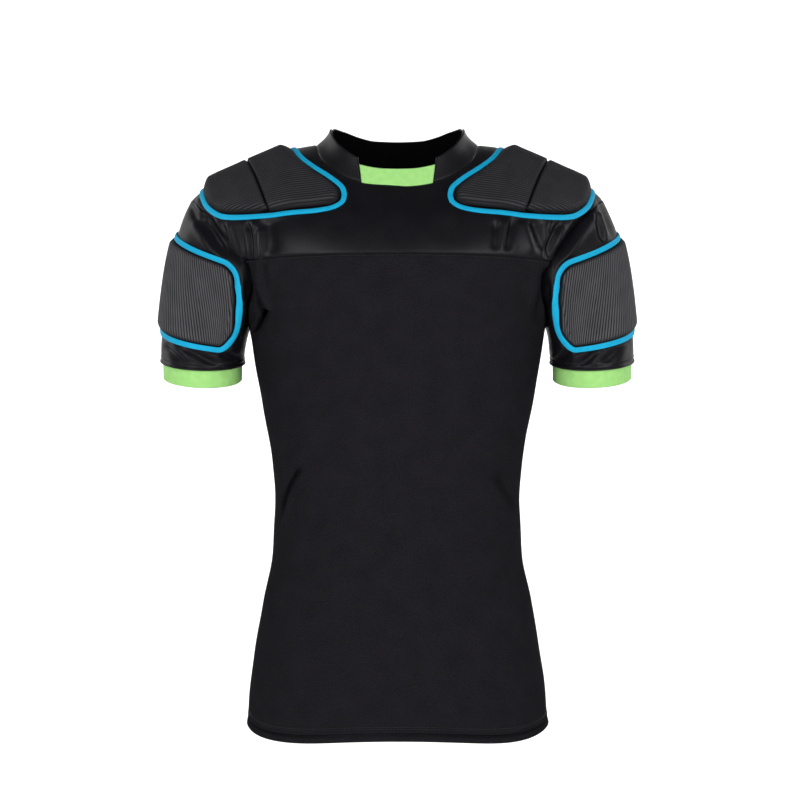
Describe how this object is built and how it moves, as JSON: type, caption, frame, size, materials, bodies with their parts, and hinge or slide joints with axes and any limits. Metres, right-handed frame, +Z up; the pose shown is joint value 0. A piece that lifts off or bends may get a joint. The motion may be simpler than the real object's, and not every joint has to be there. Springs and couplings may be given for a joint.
{
  "type": "padded body armour top",
  "caption": "Short-sleeved stretch top for contact sport with ribbed foam pads on the shoulders and upper arms, taped edges, a low stand collar and elastic cuffs, in its worn shape.",
  "frame": {"origin": "on the shoulders, midway between the two points where the collar, front and back meet", "axes": "+Z up the body toward the neck, +X toward the wearer's left, the front faces -Y"},
  "size_m": [0.5656, 0.2458, 0.7103],
  "materials": {
    "body_knit": "matte black stretch knit",
    "yoke_knit": "shiny black stretch knit",
    "pad_cover": "ribbed dark grey knit over foam",
    "blue_tape": "bright blue flat stitching tape",
    "green_elastic": "lime green elastic"
  },
  "bodies": {
    "root": {"back_body": "body_knit", "back_yoke": "yoke_knit", "bicep_pad_left": "pad_cover", "bicep_pad_right": "pad_cover", "bicep_tape_left": "blue_tape", "bicep_tape_right": "blue_tape", "collar": "yoke_knit", "collar_tab": "green_elastic", "cuff_left": "green_elastic", "cuff_right": "green_elastic", "front_body": "body_knit", "front_yoke": "yoke_knit", "shoulder_pad_inner_left": "pad_cover", "shoulder_pad_inner_right": "pad_cover", "shoulder_pad_outer_left": "pad_cover", "shoulder_pad_outer_right": "pad_cover", "shoulder_tape_left": "blue_tape", "shoulder_tape_right": "blue_tape", "sleeve_left": "yoke_knit", "sleeve_right": "yoke_knit"}
  },
  "joints": []
}
